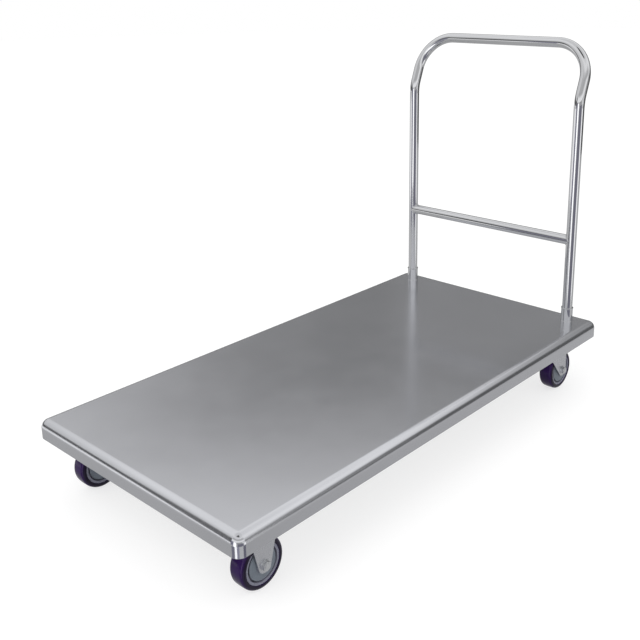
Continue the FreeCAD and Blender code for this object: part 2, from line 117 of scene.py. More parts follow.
# Wheel core
RIM_RING = 5 * MM
RIM_STEP = 1.5 * MM
RIM_DRAFT = 1 * MM
WEB_HALF = 4.5 * MM
HUB_RADIUS = 15 * MM
HUB_STEP = 1 * MM
HUB_BORE = 12 * MM
CORE_EASE = 0.7 * MM

# Thread guards: the raised rim, the groove inside it, and the step near the hub
GUARD_THICKNESS = 1.6 * MM
GUARD_DISH = 1.2 * MM
GUARD_RIM_WIDTH = 1.2 * MM
GUARD_RIM_DEPTH = GUARD_DISH * 0.95
GUARD_GROOVE_REACH = 1.8 * MM
GUARD_GROOVE = 0.25 * MM
GUARD_STEP = 0.5 * MM
GUARD_STEP_SLOPE = 0.8 * MM
GUARD_STEP_SHARE = 0.3
GUARD_EASE = 0.4 * MM

# Broken edges of bent sheet, and what is merged and flattened in its mesh before
BROKEN_EDGE = 0.45 * MM
BROKEN_PROFILE = 0.6
BROKEN_TURN = math.radians(35)
FLAT_TURN = math.radians(0.5)
MERGE_DISTANCE = 0.001 * MM

# Mesh fineness: points round a circle, and steps along an arc
AROUND = 96
TUBE_AROUND = 48
BEAD_AROUND = 12
EASE_STEPS = 4
HEM_STEPS = 4
SHOULDER_STEPS = 12
BEND_STEPS = 16
CORNER_STEPS = 20
ROLL_STEPS = 28
GRIP_CORNER_STEPS = 36

# The most of an outline's edge that one rounded corner takes
EASE_SHARE = 0.45
# An edge that turns by more than this is shaded as sharp
SHARP_TURN = math.radians(50)


# Node helpers


def new_material(name):
    material = bpy.data.materials.new(name)
    material.use_nodes = True
    material.node_tree.nodes.clear()
    return material, material.node_tree


def add(tree, kind, **settings):
    node = tree.nodes.new("ShaderNode" + kind)
    for key, value in settings.items():
        setattr(node, key, value)
    return node


def link(tree, source, target):
    tree.links.new(source, target)


def place_axes(tree, kind):
    """The X, Y and Z of one kind of coordinates."""
    place = add(tree, "TexCoord")
    split = add(tree, "SeparateXYZ")
    link(tree, place.outputs[kind], split.inputs["Vector"])
    return split.outputs


def noise(tree, cells, stretch=(1, 1, 1), detail=2.0):
    """A noise field in the object's own coordinates, with this many cells per metre."""
    place = add(tree, "TexCoord")
    mapping = add(tree, "Mapping")
    mapping.inputs["Scale"].default_value = [cells * s for s in stretch]
    field = add(tree, "TexNoise")
    field.inputs["Scale"].default_value = 1.0
    field.inputs["Detail"].default_value = detail
    link(tree, place.outputs["Object"], mapping.inputs["Vector"])
    link(tree, mapping.outputs["Vector"], field.inputs["Vector"])
    return field.outputs["Fac"]


def drawn_out(grain, length):
    """The stretch of a noise whose cells are this many times longer along the grain's axis."""
    return [1.0 / length if axis == grain else 1.0 for axis in "XYZ"]


def ranged(tree, value, low, high, start=0.3, end=0.7, kind="LINEAR"):
    """A value carried from start..end, a noise's usual spread, to low..high."""
    node = add(tree, "MapRange", interpolation_type=kind)
    node.inputs["From Min"].default_value = start
    node.inputs["From Max"].default_value = end
    node.inputs["To Min"].default_value = low
    node.inputs["To Max"].default_value = high
    link(tree, value, node.inputs["Value"])
    return node.outputs["Result"]


def varied(tree, field, level, factors):
    """A level that a noise carries from one factor of it to another."""
    low, high = factors
    return ranged(tree, field, level * low, level * high)


def combined(tree, operation, first, second=None):
    """One operation on a value, with another value or a number where it takes two."""
    node = add(tree, "Math", operation=operation)
    link(tree, first, node.inputs[0])
    if isinstance(second, bpy.types.NodeSocket):
        link(tree, second, node.inputs[1])
    elif second is not None:
        node.inputs[1].default_value = second
    return node.outputs["Value"]


def mixed(tree, factor, first, second):
    """Two colours or colour sockets, mixed by a factor."""
    node = add(tree, "Mix", data_type="RGBA")
    link(tree, factor, node.inputs["Factor"])
    slots = [socket for socket in node.inputs if socket.type == "RGBA"]
    for slot, color in zip(slots, (first, second)):
        if isinstance(color, bpy.types.NodeSocket):
            link(tree, color, slot)
        else:
            slot.default_value = (*color, 1)
    return [socket for socket in node.outputs if socket.type == "RGBA"][0]


def scaled(color, factor):
    return tuple(channel * factor for channel in color)


def toned(tree, field, color, factors):
    """A colour that a noise carries from one factor of it to another."""
    low, high = factors
    return mixed(tree, ranged(tree, field, 0, 1), scaled(color, low), scaled(color, high))


def surfaced(tree, closure):
    """Makes a shader's output the material's surface."""
    output = add(tree, "OutputMaterial")
    link(tree, closure, output.inputs["Surface"])


def principled(tree, **constants):
    """A principled shader with these constants, as the material's surface."""
    shader = add(tree, "BsdfPrincipled")
    for name, value in constants.items():
        shader.inputs[name].default_value = value
    surfaced(tree, shader.outputs["BSDF"])
    return shader


def bumped(tree, shader, layers):
    """Bump layers of (height, distance in metres), one over the other."""
    below = None
    for height, distance in layers:
        bump = add(tree, "Bump")
        bump.inputs["Strength"].default_value = 1.0
        bump.inputs["Distance"].default_value = distance
        link(tree, height, bump.inputs["Height"])
        if below:
            link(tree, below, bump.inputs["Normal"])
        below = bump.outputs["Normal"]
    link(tree, below, shader.inputs["Normal"])


# Finishes

# Stainless steel: cells per metre, how drawn out they are, and depths
GRAIN_CELLS = 1100.0
GRAIN_LENGTH = 45
GRAIN_DEPTH = 0.0025 * MM
FINE_GRAIN_DEPTH = 0.0006 * MM
SCRATCH_CELLS = 900.0
SCRATCH_LENGTH = 180
CLOUD_CELLS = 5.0
CLOUD_DEPTH = 0.12 * MM
SMUDGE_CELLS = 16.0
# Factors on the colour and roughness
CLOUD_TONES = (0.965, 1.035)
SCRATCH_TONE = 1.12
GRAIN_ROUGHNESS = (0.9, 1.1)
SMUDGE_ROUGHNESS = (0.92, 1.1)
POLISH_ROUGHNESS = 0.6
# A scratch starts and is full at these noise values, and shows this strongly
SCRATCH_START = 0.7
SCRATCH_END = 0.78
SCRATCH_STRENGTH = 0.2
# Reach of the corner polish from the deck's edges, and where it is full
POLISH_REACH = EDGE_ROLL * 1.5
POLISH_FULL = EDGE_ROLL * 0.9

# Moulded plastic
STIPPLE_CELLS = 1600.0
STIPPLE_DEPTH = 0.01 * MM
SCUFF_CELLS = 60.0
PLASTIC_TONES = (0.92, 1.08)
PLASTIC_ROUGHNESS = (0.85, 1.2)
PLASTIC_SPECULAR = 0.4

# Polyurethane; painted shade darkens the tyre's sides, starting and full at these slopes of the
# surface's normal
PAINTED_SHADE_START = 0.5
PAINTED_SHADE_FULL = 1.0
SWIRL_CELLS = 35.0
SWIRL_DEPTH = 0.06 * MM
RUB_CELLS = 120.0
TREAD_TONES = (0.8, 1.2)
TYRE_ROUGHNESS = (0.8, 1.4)
TYRE_SPECULAR = 0.18

SATIN_COLOR = (0.55, 0.557, 0.585)


def steel(name, color, roughness, grain, depth=GRAIN_DEPTH, polish=None):
    """Stainless steel with a fine grain along one axis, clouds, smudges and hairline scratches."""
    material, tree = new_material(name)
    shader = principled(tree, Metallic=1.0)
    lines = noise(tree, GRAIN_CELLS, drawn_out(grain, GRAIN_LENGTH), detail=3.0)
    clouds = noise(tree, CLOUD_CELLS, detail=3.0)
    smudges = noise(tree, SMUDGE_CELLS, detail=5.0)
    scratches = noise(tree, SCRATCH_CELLS, drawn_out(grain, SCRATCH_LENGTH), detail=1.0)
    tone = toned(tree, clouds, color, CLOUD_TONES)
    scored = ranged(tree, scratches, 0, SCRATCH_STRENGTH, start=SCRATCH_START, end=SCRATCH_END)
    link(tree, mixed(tree, scored, tone, scaled(color, SCRATCH_TONE)), shader.inputs["Base Color"])
    grained = varied(tree, lines, roughness, GRAIN_ROUGHNESS)
    worn = combined(tree, "MULTIPLY", grained, ranged(tree, smudges, *SMUDGE_ROUGHNESS))
    if polish:
        worn = combined(tree, "MULTIPLY", worn, polish(tree))
    link(tree, worn, shader.inputs["Roughness"])
    bumped(tree, shader, [(lines, depth), (clouds, CLOUD_DEPTH)])
    return material


def corner_polish(tree):
    """A factor on roughness, less where the deck's corner welds are ground and polished."""
    low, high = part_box("deck_pan")
    middle = (low + high) / 2
    half = (high - low) / 2
    axes = place_axes(tree, "Object")
    near = []
    for axis, centre, reach in (("X", middle.x, half.x), ("Y", middle.y, half.y)):
        offset = combined(tree, "SUBTRACT", axes[axis], centre)
        distance = combined(tree, "ABSOLUTE", offset)
        start = reach - POLISH_REACH
        end = reach - POLISH_FULL
        near.append(ranged(tree, distance, 0, 1, start=start, end=end, kind="SMOOTHSTEP"))
    both = combined(tree, "MULTIPLY", near[0], near[1])
    return ranged(tree, both, 1.0, POLISH_ROUGHNESS, start=0, end=1)


def plastic(name, color, roughness):
    """Moulded plastic with a fine stipple and faint scuffs."""
    material, tree = new_material(name)
    shader = principled(tree)
    shader.inputs["Specular IOR Level"].default_value = PLASTIC_SPECULAR
    stipple = noise(tree, STIPPLE_CELLS)
    scuffs = noise(tree, SCUFF_CELLS, detail=4.0)
    link(tree, toned(tree, scuffs, color, PLASTIC_TONES), shader.inputs["Base Color"])
    link(tree, varied(tree, scuffs, roughness, PLASTIC_ROUGHNESS), shader.inputs["Roughness"])
    bumped(tree, shader, [(stipple, STIPPLE_DEPTH)])
    return material


def polyurethane(name, tread, side, roughness):
    """Glossy polyurethane, deep in colour on the tread, with painted shade darkening the sides to
    near black, faintly rubbed.
    """
    material, tree = new_material(name)
    shader = principled(tree)
    shader.inputs["Specular IOR Level"].default_value = TYRE_SPECULAR
    facing = combined(tree, "ABSOLUTE", place_axes(tree, "Normal")["X"])
    # Painted shade: the dark side colour is mixed in where the normal turns towards the wheel's
    # axis
    painted_side_shade = ranged(tree, facing, 0, 1, start=PAINTED_SHADE_START, end=PAINTED_SHADE_FULL, kind="SMOOTHSTEP")
    swirl = noise(tree, SWIRL_CELLS, detail=3.0)
    body = toned(tree, swirl, tread, TREAD_TONES)
    link(tree, mixed(tree, painted_side_shade, body, side), shader.inputs["Base Color"])
    rubs = noise(tree, RUB_CELLS, detail=5.0)
    link(tree, varied(tree, rubs, roughness, TYRE_ROUGHNESS), shader.inputs["Roughness"])
    bumped(tree, shader, [(swirl, SWIRL_DEPTH)])
    return material


FINISHES = {
    "deck_steel": steel(
        "satin_deck_steel", SATIN_COLOR, roughness=0.18, grain="Y", polish=corner_polish
    ),
    "frame_steel": steel("mill_frame_steel", (0.5, 0.51, 0.52), roughness=0.32, grain="X"),
    "tube_steel": steel(
        "polished_tube_steel", (0.57, 0.575, 0.59), roughness=0.075, grain="Z",
        depth=FINE_GRAIN_DEPTH,
    ),
    "caster_steel": steel(
        "satin_caster_steel", SATIN_COLOR, roughness=0.27, grain="Z", depth=FINE_GRAIN_DEPTH
    ),
    "fastener_steel": steel("bright_fastener_steel", (0.6, 0.61, 0.625), roughness=0.3, grain="X"),
    "bearing_steel": steel("ground_bearing_steel", (0.6, 0.6, 0.62), roughness=0.16, grain="X"),
    # The tyre's side colour is painted shade on the same polyurethane as the tread
    "polyurethane": polyurethane(
        "purple_polyurethane", tread=(0.028, 0.0075, 0.078), side=(0.013, 0.009, 0.024),
        roughness=0.1,
    ),
    "wheel_plastic": plastic("grey_wheel_nylon", (0.21, 0.213, 0.27), roughness=0.38),
    "guard_plastic": plastic("grey_guard_plastic", (0.165, 0.19, 0.225), roughness=0.4),
    "black_plastic": plastic("black_plastic", (0.02, 0.02, 0.022), roughness=0.4),
}

SLOTS = {part["node"]: part["material_slot"] for part in frame["record"]["subparts"]}

for node, piece in frame["nodes"].items():
    for holder in piece.material_slots:
        holder.material = FINISHES[SLOTS[node]]


# Mesh helpers


def stand_in(name, form, *nodes, place=None):
    """A finished mesh that is shown for CAD nodes of one body, with their finish."""
    mesh = bpy.data.meshes.new(name)
    bmesh.ops.recalc_face_normals(form, faces=form.faces)
    for face in form.faces:
        face.smooth = True
    for edge in form.edges:
        edge.smooth = edge.calc_face_angle(0) < SHARP_TURN
    form.to_mesh(mesh)
    form.free()
    piece = bpy.data.objects.new(name, mesh)
    bpy.context.scene.collection.objects.link(piece)
    if place is not None:
        piece.location = place
    slot = SLOTS[nodes[0]]
    mesh.materials.append(FINISHES[slot])
    weighted = piece.modifiers.new("face_weighted_normals", "WEIGHTED_NORMAL")
    weighted.keep_sharp = True
    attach(piece, frame["nodes"][nodes[0]]["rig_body"])
    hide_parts(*nodes)
    return piece


def full_turn(count):
    """The angles of even steps round a circle."""
    return [2 * math.pi * step / count for step in range(count)]


def quarter_turn(steps):
    """The angles of even steps through a right angle, with both its ends."""
    return [math.pi / 2 * step / steps for step in range(steps + 1)]


def eased(corners, radius):
    """A closed outline of 2-D points with each corner rounded, by no more than its edges allow."""
    outline = []
    for i, corner in enumerate(corners):
        here = Vector(corner)
        before = Vector(corners[i - 1]) - here
        after = Vector(corners[(i + 1) % len(corners)]) - here
        reach = min(radius, EASE_SHARE * before.length, EASE_SHARE * after.length)
        start = here + before.normalized() * reach
        end = here + after.normalized() * reach
        for step in range(EASE_STEPS + 1):
            t = step / EASE_STEPS
            outline.append((1 - t) ** 2 * start + 2 * t * (1 - t) * here + t ** 2 * end)
    return outline


def mirrored(outline):
    """The other half of a (radius, along) outline, from its last point back to its first."""
    return [(radius, -along) for radius, along in reversed(outline)]


def level_ring(form, centre_x, centre_y, z, radius, around):
    """A level circle of vertices."""
    ring = []
    for angle in full_turn(around):
        x = centre_x + radius * math.cos(angle)
        y = centre_y + radius * math.sin(angle)
        ring.append(form.verts.new((x, y, z)))
    return ring


def round_ring(form, point, sideways, upright, radius, around):
    """A circle of vertices about a point, in the plane of two unit vectors."""
    ring = []
    for angle in full_turn(around):
        way = sideways * math.cos(angle) + upright * math.sin(angle)
        ring.append(form.verts.new(point + way * radius))
    return ring


def joined_rings(form, rings, closed_along=False):
    """Faces between neighbouring rings of vertices, each a closed loop of as many points."""
    pairs = list(zip(rings, rings[1:]))
    if closed_along:
        pairs.append((rings[-1], rings[0]))
    for first, second in pairs:
        count = len(first)
        for i in range(count):
            j = (i + 1) % count
            form.faces.new((first[i], first[j], second[j], second[i]))


def turned(form, outline, centre=(0, 0, 0), axis="X"):
    """A closed (radius, along) outline turned about the X or Z axis through centre."""
    spin = Matrix.Identity(3) if axis == "Z" else Matrix.Rotation(math.radians(90), 3, "Y")
    rings = []
    for angle in full_turn(AROUND):
        ring = []
        for radius, along in outline:
            point = Vector((radius * math.cos(angle), radius * math.sin(angle), along))
            ring.append(form.verts.new(Vector(centre) + spin @ point))
        rings.append(ring)
    joined_rings(form, rings, closed_along=True)


def swept_rod(form, path, radius):
    """A round rod along a path, closed by a flat cap at each end."""
    rings = []
    sideways = X_AXIS
    for i, point in enumerate(path):
        ahead = (path[min(i + 1, len(path) - 1)] - path[max(i - 1, 0)]).normalized()
        sideways = (sideways - ahead * sideways.dot(ahead)).normalized()
        upright = ahead.cross(sideways)
        rings.append(round_ring(form, point, sideways, upright, radius, TUBE_AROUND))
    joined_rings(form, rings)
    form.faces.new(rings[0])
    form.faces.new(rings[-1])


def bead_loop(form, loop, centre, radius, ripple=WELD_RIPPLE):
    """A weld bead with the ripples of its passes, along a closed loop about centre."""
    rings = []
    count = len(loop)
    for i, point in enumerate(loop):
        ahead = (loop[(i + 1) % count] - loop[i - 1]).normalized()
        outward = point - centre
        outward = (outward - ahead * outward.dot(ahead)).normalized()
        upright = ahead.cross(outward)
        size = radius + ripple * math.sin(2 * math.pi * WELD_RIPPLES * i / count)
        rings.append(round_ring(form, point, outward, upright, size, BEAD_AROUND))
    joined_rings(form, rings, closed_along=True)


def arc(centre, start_way, end_way, radius, angle, steps):
    """Points of an arc from start_way towards end_way, two unit vectors at a right angle."""
    points = []
    for step in range(steps + 1):
        turn = angle * step / steps
        points.append(centre + (start_way * math.cos(turn) + end_way * math.sin(turn)) * radius)
    return points


# Deck


def deck_ring(form, low, high, inset, z):
    """One level of the deck: a rectangle with round corners, moved inwards by inset."""
    radius = EDGE_ROLL + CORNER_MARGIN - inset
    ring = []
    corners = ((1, 1, 0), (-1, 1, 90), (-1, -1, 180), (1, -1, 270))
    for side_x, side_y, start in corners:
        centre_x = (high.x if side_x > 0 else low.x) - side_x * (inset + radius)
        centre_y = (high.y if side_y > 0 else low.y) - side_y * (inset + radius)
        for step in range(CORNER_STEPS + 1):
            angle = math.radians(start + 90 * step / CORNER_STEPS)
            x = centre_x + radius * math.cos(angle)
            y = centre_y + radius * math.sin(angle)
            ring.append(form.verts.new((x, y, z)))
    return ring


def roll_levels(radius, top, inset):
    """(inset, z) of the rolled edge from the flat down to the skirt."""
    levels = []
    for angle in quarter_turn(ROLL_STEPS):
        inwards = inset + radius * (1 - math.sin(angle))
        levels.append((inwards, top - radius * (1 - math.cos(angle))))
    return levels


def deck_levels(top, bottom):
    """The deck's section from the flat top, over the roll and round the hem, to the underside."""
    levels = roll_levels(EDGE_ROLL, top, 0)
    for angle in quarter_turn(HEM_STEPS):
        inset = HEM_ROUND * (1 - math.cos(angle))
        levels.append((inset, bottom + HEM_ROUND * (1 - math.sin(angle))))
    for angle in quarter_turn(HEM_STEPS):
        inset = SHEET - HEM_ROUND * (1 - math.sin(angle))
        levels.append((inset, bottom + HEM_ROUND * (1 - math.cos(angle))))
    return levels + roll_levels(EDGE_ROLL - SHEET, top - SHEET, SHEET)[::-1]


def loop_edges(form, loop):
    """The edges round a loop of vertices, made where there are none."""
    edges = []
    for i, vertex in enumerate(loop):
        other = loop[(i + 1) % len(loop)]
        edges.append(form.edges.get((vertex, other)) or form.edges.new((vertex, other)))
    return edges


def socket_place(side):
    """The centre of a socket in plan, and its tube's outer radius."""
    low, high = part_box(side + "_handle_socket")
    return (low + high) / 2, (high.x - low.x) / 2 - SOCKET_LIP


def socket_hole(form, side, z):
    """The edge of the hole that a socket comes through, at one level of the sheet."""
    centre, radius = socket_place(side)
    return level_ring(form, centre.x, centre.y, z, radius + SOCKET_HOLE_GAP, TUBE_AROUND)


def deck_pan():
    """The folded pan: roll, skirt and hem in one skin, with a hole for each socket."""
    low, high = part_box("deck_pan")
    form = bmesh.new()
    rings = [deck_ring(form, low, high, inset, z) for inset, z in deck_levels(high.z, low.z)]
    joined_rings(form, rings)
    flats = []
    for ring, z in ((rings[0], high.z), (rings[-1], high.z - SHEET)):
        holes = [socket_hole(form, side, z) for side in SIDES]
        flats.append(holes)
        edges = []
        for loop in [ring] + holes:
            edges += loop_edges(form, loop)
        bmesh.ops.triangle_fill(form, use_beauty=True, edges=edges)
    for above, below in zip(*flats):
        joined_rings(form, [above, below])
    stand_in("deck_pan_sheet", form, "deck_pan")


# Handle and sockets


def handle_socket(side):
    """A tube with a rolled lip, and the weld round it where it comes through the deck."""
    low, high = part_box(side + "_handle_socket")
    centre, radius = socket_place(side)
    bore = radius - SOCKET_WALL
    lip = radius + SOCKET_LIP
    lip_low = high.z - SOCKET_LIP_HEIGHT
    corners = [
        (bore, low.z),
        (radius, low.z),
        (radius, lip_low),
        (lip, lip_low + SOCKET_LIP / 2),
        (lip, high.z - SOCKET_LIP / 2),
        (radius, high.z),
        (bore, high.z),
    ]
    form = bmesh.new()
    turned(form, eased(corners, SOCKET_EASE), (centre.x, centre.y, 0), "Z")
    middle = Vector((centre.x, centre.y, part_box("deck_pan")[1].z))
    steps = POINTS_PER_RIPPLE * WELD_RIPPLES
    loop = arc(middle, X_AXIS, Y_AXIS, radius + SOCKET_BEAD_GAP, 2 * math.pi, steps)[:-1]
    bead_loop(form, loop, middle, SOCKET_BEAD, ripple=WELD_RIPPLE / 2)
    stand_in(side + "_socket_tube", form, side + "_handle_socket")


def handle_path():
    """The handle's centre line: up a post, back over the bend, across the grip and down."""
    low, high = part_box("handle_tube")
    post = Vector((high.x - TUBE_RADIUS, low.y + TUBE_RADIUS, low.z))
    grip_y = high.y - TUBE_RADIUS
    grip_z = high.z - TUBE_RADIUS
    rise = math.cos(HANDLE_LEAN)
    lean_length = (grip_y - post.y - BEND_RADIUS * (1 - rise)) / math.sin(HANDLE_LEAN)
    bend_z = grip_z - BEND_RADIUS * math.sin(HANDLE_LEAN) - lean_length * rise
    leaning = Vector((0, math.sin(HANDLE_LEAN), rise))
    bend_centre = Vector((post.x, post.y + BEND_RADIUS, bend_z))
    half = [post, Vector((post.x, post.y, (post.z + bend_z) / 2))]
    half += arc(bend_centre, -Y_AXIS, Z_AXIS, BEND_RADIUS, HANDLE_LEAN, BEND_STEPS)
    corner = Vector((post.x, grip_y, grip_z))
    corner_centre = corner - (leaning + X_AXIS) * GRIP_CORNER_RADIUS
    half += arc(
        corner_centre, X_AXIS, leaning, GRIP_CORNER_RADIUS, math.pi / 2, GRIP_CORNER_STEPS
    )
    return half + [Vector((-p.x, p.y, p.z)) for p in reversed(half)]


def handle_tube():
    """The handle's one bent tube, from socket to socket."""
    form = bmesh.new()
    swept_rod(form, handle_path(), TUBE_RADIUS)
    stand_in("handle_bent_tube", form, "handle_tube")


def crossbar():
    """The bar between the posts, coped to their round, with a weld bead about each end."""
    low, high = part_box("handle_crossbar")
    tube_low, tube_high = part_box("handle_tube")
    post_x = tube_high.x - TUBE_RADIUS
    radius = (high.z - low.z) / 2
    middle = Vector((0, tube_low.y + TUBE_RADIUS, (low.z + high.z) / 2))
    form = bmesh.new()
    ends = []
    for side in SIDES.values():
        ring = []
        for angle in full_turn(POINTS_PER_RIPPLE * WELD_RIPPLES):
            y = radius * math.cos(angle)
            x = side * (post_x - math.sqrt(TUBE_RADIUS ** 2 - y ** 2))
            ring.append(middle + Vector((x, y, radius * math.sin(angle))))
        ends.append(ring)
        bead_loop(form, ring, middle + X_AXIS * side * post_x, CROSSBAR_BEAD)
    rings = [[form.verts.new(point) for point in ring] for ring in ends]
    joined_rings(form, rings)
    for ring, side in zip(rings, SIDES.values()):
        cap = form.verts.new(middle + X_AXIS * side * (post_x - TUBE_RADIUS))
        for i, vertex in enumerate(ring):
            form.faces.new((vertex, ring[i - 1], cap))
    stand_in("handle_crossbar_welded", form, "handle_crossbar")


# Wheels


def wheel_place(node):
    """The centre, outer radius and half width of one of a wheel's pieces."""
    low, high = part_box(node)
    return (low + high) / 2, (high.z - low.z) / 2, (high.x - low.x) / 2


def tyre(wheel):
    """A cast tread: crowned, with round shoulders and a moulded edge against the rim."""
    centre, radius, half = wheel_place(wheel + "_tyre")
    rim = radius - TYRE_DEPTH
    flat = half - TREAD_EDGE
    shoulder = radius - TREAD_CROWN - TREAD_EDGE
    section = [(rim, half - TYRE_LIP_INSET), (rim + TYRE_LIP_RISE, half)]
    for angle in quarter_turn(SHOULDER_STEPS):
        rise = TREAD_EDGE * math.sin(angle)
        section.append((shoulder + rise, flat + TREAD_EDGE * math.cos(angle)))
    # The crown is a parabola, a quarter of the way down when halfway out
    section.append((radius - TREAD_CROWN / 4, flat / 2))
    form = bmesh.new()
    turned(form, section + [(radius, 0)] + mirrored(section))
    stand_in(wheel + "_cast_tyre", form, wheel + "_tyre", place=centre)


def wheel_core(wheel):
    """Rim, web and hub in one moulding, with eased corners."""
    centre, radius, hub_half = wheel_place(wheel + "_wheel_core")
    rim_half = hub_half - HUB_STEP - RIM_STEP
    inner = radius - RIM_RING
    side = [
        (HUB_BORE, hub_half),
        (HUB_RADIUS, hub_half),
        (HUB_RADIUS, WEB_HALF),
        (inner - RIM_DRAFT, WEB_HALF),
        (inner, rim_half),
        (radius, rim_half),
    ]
    form = bmesh.new()
    turned(form, eased(side + mirrored(side), CORE_EASE))
    stand_in(wheel + "_moulded_core", form, wheel + "_wheel_core", place=centre)


def thread_guards(wheel):
    """The two dished covers of a wheel, each with a raised rim and a step near the hub."""
    centre, radius, face = wheel_place(wheel + "_thread_guards")
    step = HUB_RADIUS + (radius - HUB_RADIUS) * GUARD_STEP_SHARE
    corners = [
        (HUB_RADIUS, face - GUARD_THICKNESS),
        (radius, face - GUARD_THICKNESS - GUARD_DISH),
        (radius, face - GUARD_DISH),
        (radius - GUARD_RIM_WIDTH, face - GUARD_RIM_DEPTH),
        (radius - GUARD_GROOVE_REACH, face - GUARD_RIM_DEPTH - GUARD_GROOVE),
        (step, face - GUARD_STEP),
        (step - GUARD_STEP_SLOPE, face),
        (HUB_RADIUS, face),
    ]
    form = bmesh.new()
    for way in SIDES.values():
        turned(form, [(r, way * along) for r, along in eased(corners, GUARD_EASE)])
    stand_in(wheel + "_dished_guards", form, wheel + "_thread_guards", place=centre)


# Bent sheet


def edged(node):
    """A CAD node's own shape with its sharp edges broken."""
    form = bmesh.new()
    form.from_mesh(frame["nodes"][node].data)
    bmesh.ops.remove_doubles(form, verts=form.verts, dist=MERGE_DISTANCE)
    bmesh.ops.dissolve_limit(form, angle_limit=FLAT_TURN, verts=form.verts, edges=form.edges)
    sharp = []
    for edge in form.edges:
        if len(edge.link_faces) == 2 and edge.calc_face_angle() > BROKEN_TURN:
            sharp.append(edge)
    bmesh.ops.bevel(
        form, geom=sharp, offset=BROKEN_EDGE, offset_type="OFFSET", segments=2,
        profile=BROKEN_PROFILE, affect="EDGES", clamp_overlap=True,
    )
    stand_in(node + "_edged", form, node)


# The pieces of the truck

deck_pan()
handle_tube()
crossbar()
for side_name in SIDES:
    handle_socket(side_name)
    for end_name in ENDS:
        caster = f"{end_name}_{side_name}"
        tyre(caster)
        wheel_core(caster)
        thread_guards(caster)
        edged(caster + "_fork")


# Studio

FLOOR_RADIUS = 14.0
FLOOR_COLOR = (0.36, 0.36, 0.36)
FLOOR_LIFT = 0.7


def staged(name, form, material):
    """A finished piece of the studio."""
    mesh = bpy.data.meshes.new(name)
    form.to_mesh(mesh)
    form.free()
    mesh.materials.append(material)
    piece = bpy.data.objects.new(name, mesh)
    bpy.context.scene.collection.objects.link(piece)
    return piece


def floor_material():
    """A pale floor, lifted to white where it is seen, less the truck's soft shadow."""
    material, tree = new_material("pale_floor")
    diffuse = add(tree, "BsdfDiffuse")
    diffuse.inputs["Color"].default_value = (*FLOOR_COLOR, 1)
    glow = add(tree, "Emission")
    path = add(tree, "LightPath")
    seen = combined(tree, "MAXIMUM", path.outputs["Is Camera Ray"], path.outputs["Is Glossy Ray"])
    shown = combined(tree, "MAXIMUM", seen, path.outputs["Is Transmission Ray"])
    link(tree, combined(tree, "MULTIPLY", shown, FLOOR_LIFT), glow.inputs["Strength"])
    both = add(tree, "AddShader")
    link(tree, diffuse.outputs["BSDF"], both.inputs[0])
    link(tree, glow.outputs["Emission"], both.inputs[1])
    surfaced(tree, both.outputs["Shader"])
    return material


def floor():
    """The floor. Metal sees the world's lower half, a light grey, in its place."""
    form = bmesh.new()
    bmesh.ops.create_circle(form, cap_ends=True, segments=AROUND, radius=FLOOR_RADIUS)
    piece = staged("floor", form, floor_material())
    piece.visible_glossy = False


def only_in_metal(piece):
    """Leaves a piece of the studio to the rays that polished metal mirrors."""
    piece.visible_camera = False
    piece.visible_diffuse = False
    piece.visible_shadow = False


def grey(level):
    return level, level, level


# The tint of a dark card, which stainless steel shows as a cool violet grey
DUSK_TINT = (1.0, 0.99, 1.22)


def dusk(level):
    return scaled(DUSK_TINT, level)


# Cards that the metal mirrors, each where the photograph's rolls, posts or corner show its tone.
# Bearings are degrees from +X towards +Y; the camera stands at about -48.
# Name: bearings, elevations, colour, radius
CARDS = {
    "horizon_flag": ((41, 245), (1.5, 15), grey(0.15), 11.0),
    "near_horizon_flag": ((-115, -12), (1.5, 15), grey(0.5), 11.0),
    "bar_horizon_flag": ((-131, -115), (-3, 15), grey(0.2), 10.5),
    "open_horizon_flag": ((22, 41), (1.5, 15), grey(0.4), 11.0),
    "side_horizon_flag": ((30, 100), (-7.5, 1.5), grey(0.14), 10.8),
    "side_shade": ((30, 115), (-20, -7.5), grey(0.6), 10.6),
    "key_card": ((-90, -66), (-24, 34), grey(2.0), 9.0),
    "low_key_card": ((-81, -62), (-40, -24), grey(1.75), 9.0),
    "front_strip": ((-162, -122), (-12, -4), grey(1.32), 9.5),
    "left_flag": ((-122, -91), (-15, 15), dusk(0.3), 9.5),
    "low_left_flag": ((-114, -86), (-40, -24), dusk(0.27), 9.5),
    "side_flag": ((-55, 0), (-24, 3), dusk(0.24), 9.5),
    "low_side_flag": ((-61, -40), (-40, -24), dusk(0.4), 9.5),
    "low_side_card": ((-40, -1), (-40, -24), grey(0.72), 9.5),
    "side_card": ((8, 26), (-18, -3), grey(1.6), 9.5),
    "low_right_flag": ((-1, 27), (-40, -24), dusk(0.22), 9.5),
    "ceiling_flag": ((-95, -20), (66, 86), grey(0.1), 9.0),
}
CARD_ROWS = 6
CARD_COLUMN_WIDTH = 4.0


def card_point(bearing, elevation, radius):
    """The point at this bearing, elevation and distance from the frame's origin."""
    turn = math.radians(bearing)
    rise = math.radians(elevation)
    flat = radius * math.cos(rise)
    return flat * math.cos(turn), flat * math.sin(turn), radius * math.sin(rise)


def studio_card(name, bearings, elevations, color, radius):
    """A curved card about the truck, of an even brightness, that only polished metal shows."""
    form = bmesh.new()
    width = bearings[1] - bearings[0]
    height = elevations[1] - elevations[0]
    columns = round(width / CARD_COLUMN_WIDTH)
    rises = [elevations[0] + height * row / CARD_ROWS for row in range(CARD_ROWS + 1)]
    grid = []
    for column in range(columns + 1):
        bearing = bearings[0] + width * column / columns
        grid.append([form.verts.new(card_point(bearing, rise, radius)) for rise in rises])
    for first, second in zip(grid, grid[1:]):
        for row in range(CARD_ROWS):
            form.faces.new((first[row], second[row], second[row + 1], first[row + 1]))
    material, tree = new_material(name)
    light = add(tree, "Emission")
    light.inputs["Color"].default_value = (*color, 1)
    surfaced(tree, light.outputs["Emission"])
    only_in_metal(staged(name, form, material))


WALL_RADIUS = 4.4
WALL_LOW = 1.2
WALL_HIGH = 5.0
WALL_PEAK = 1.3
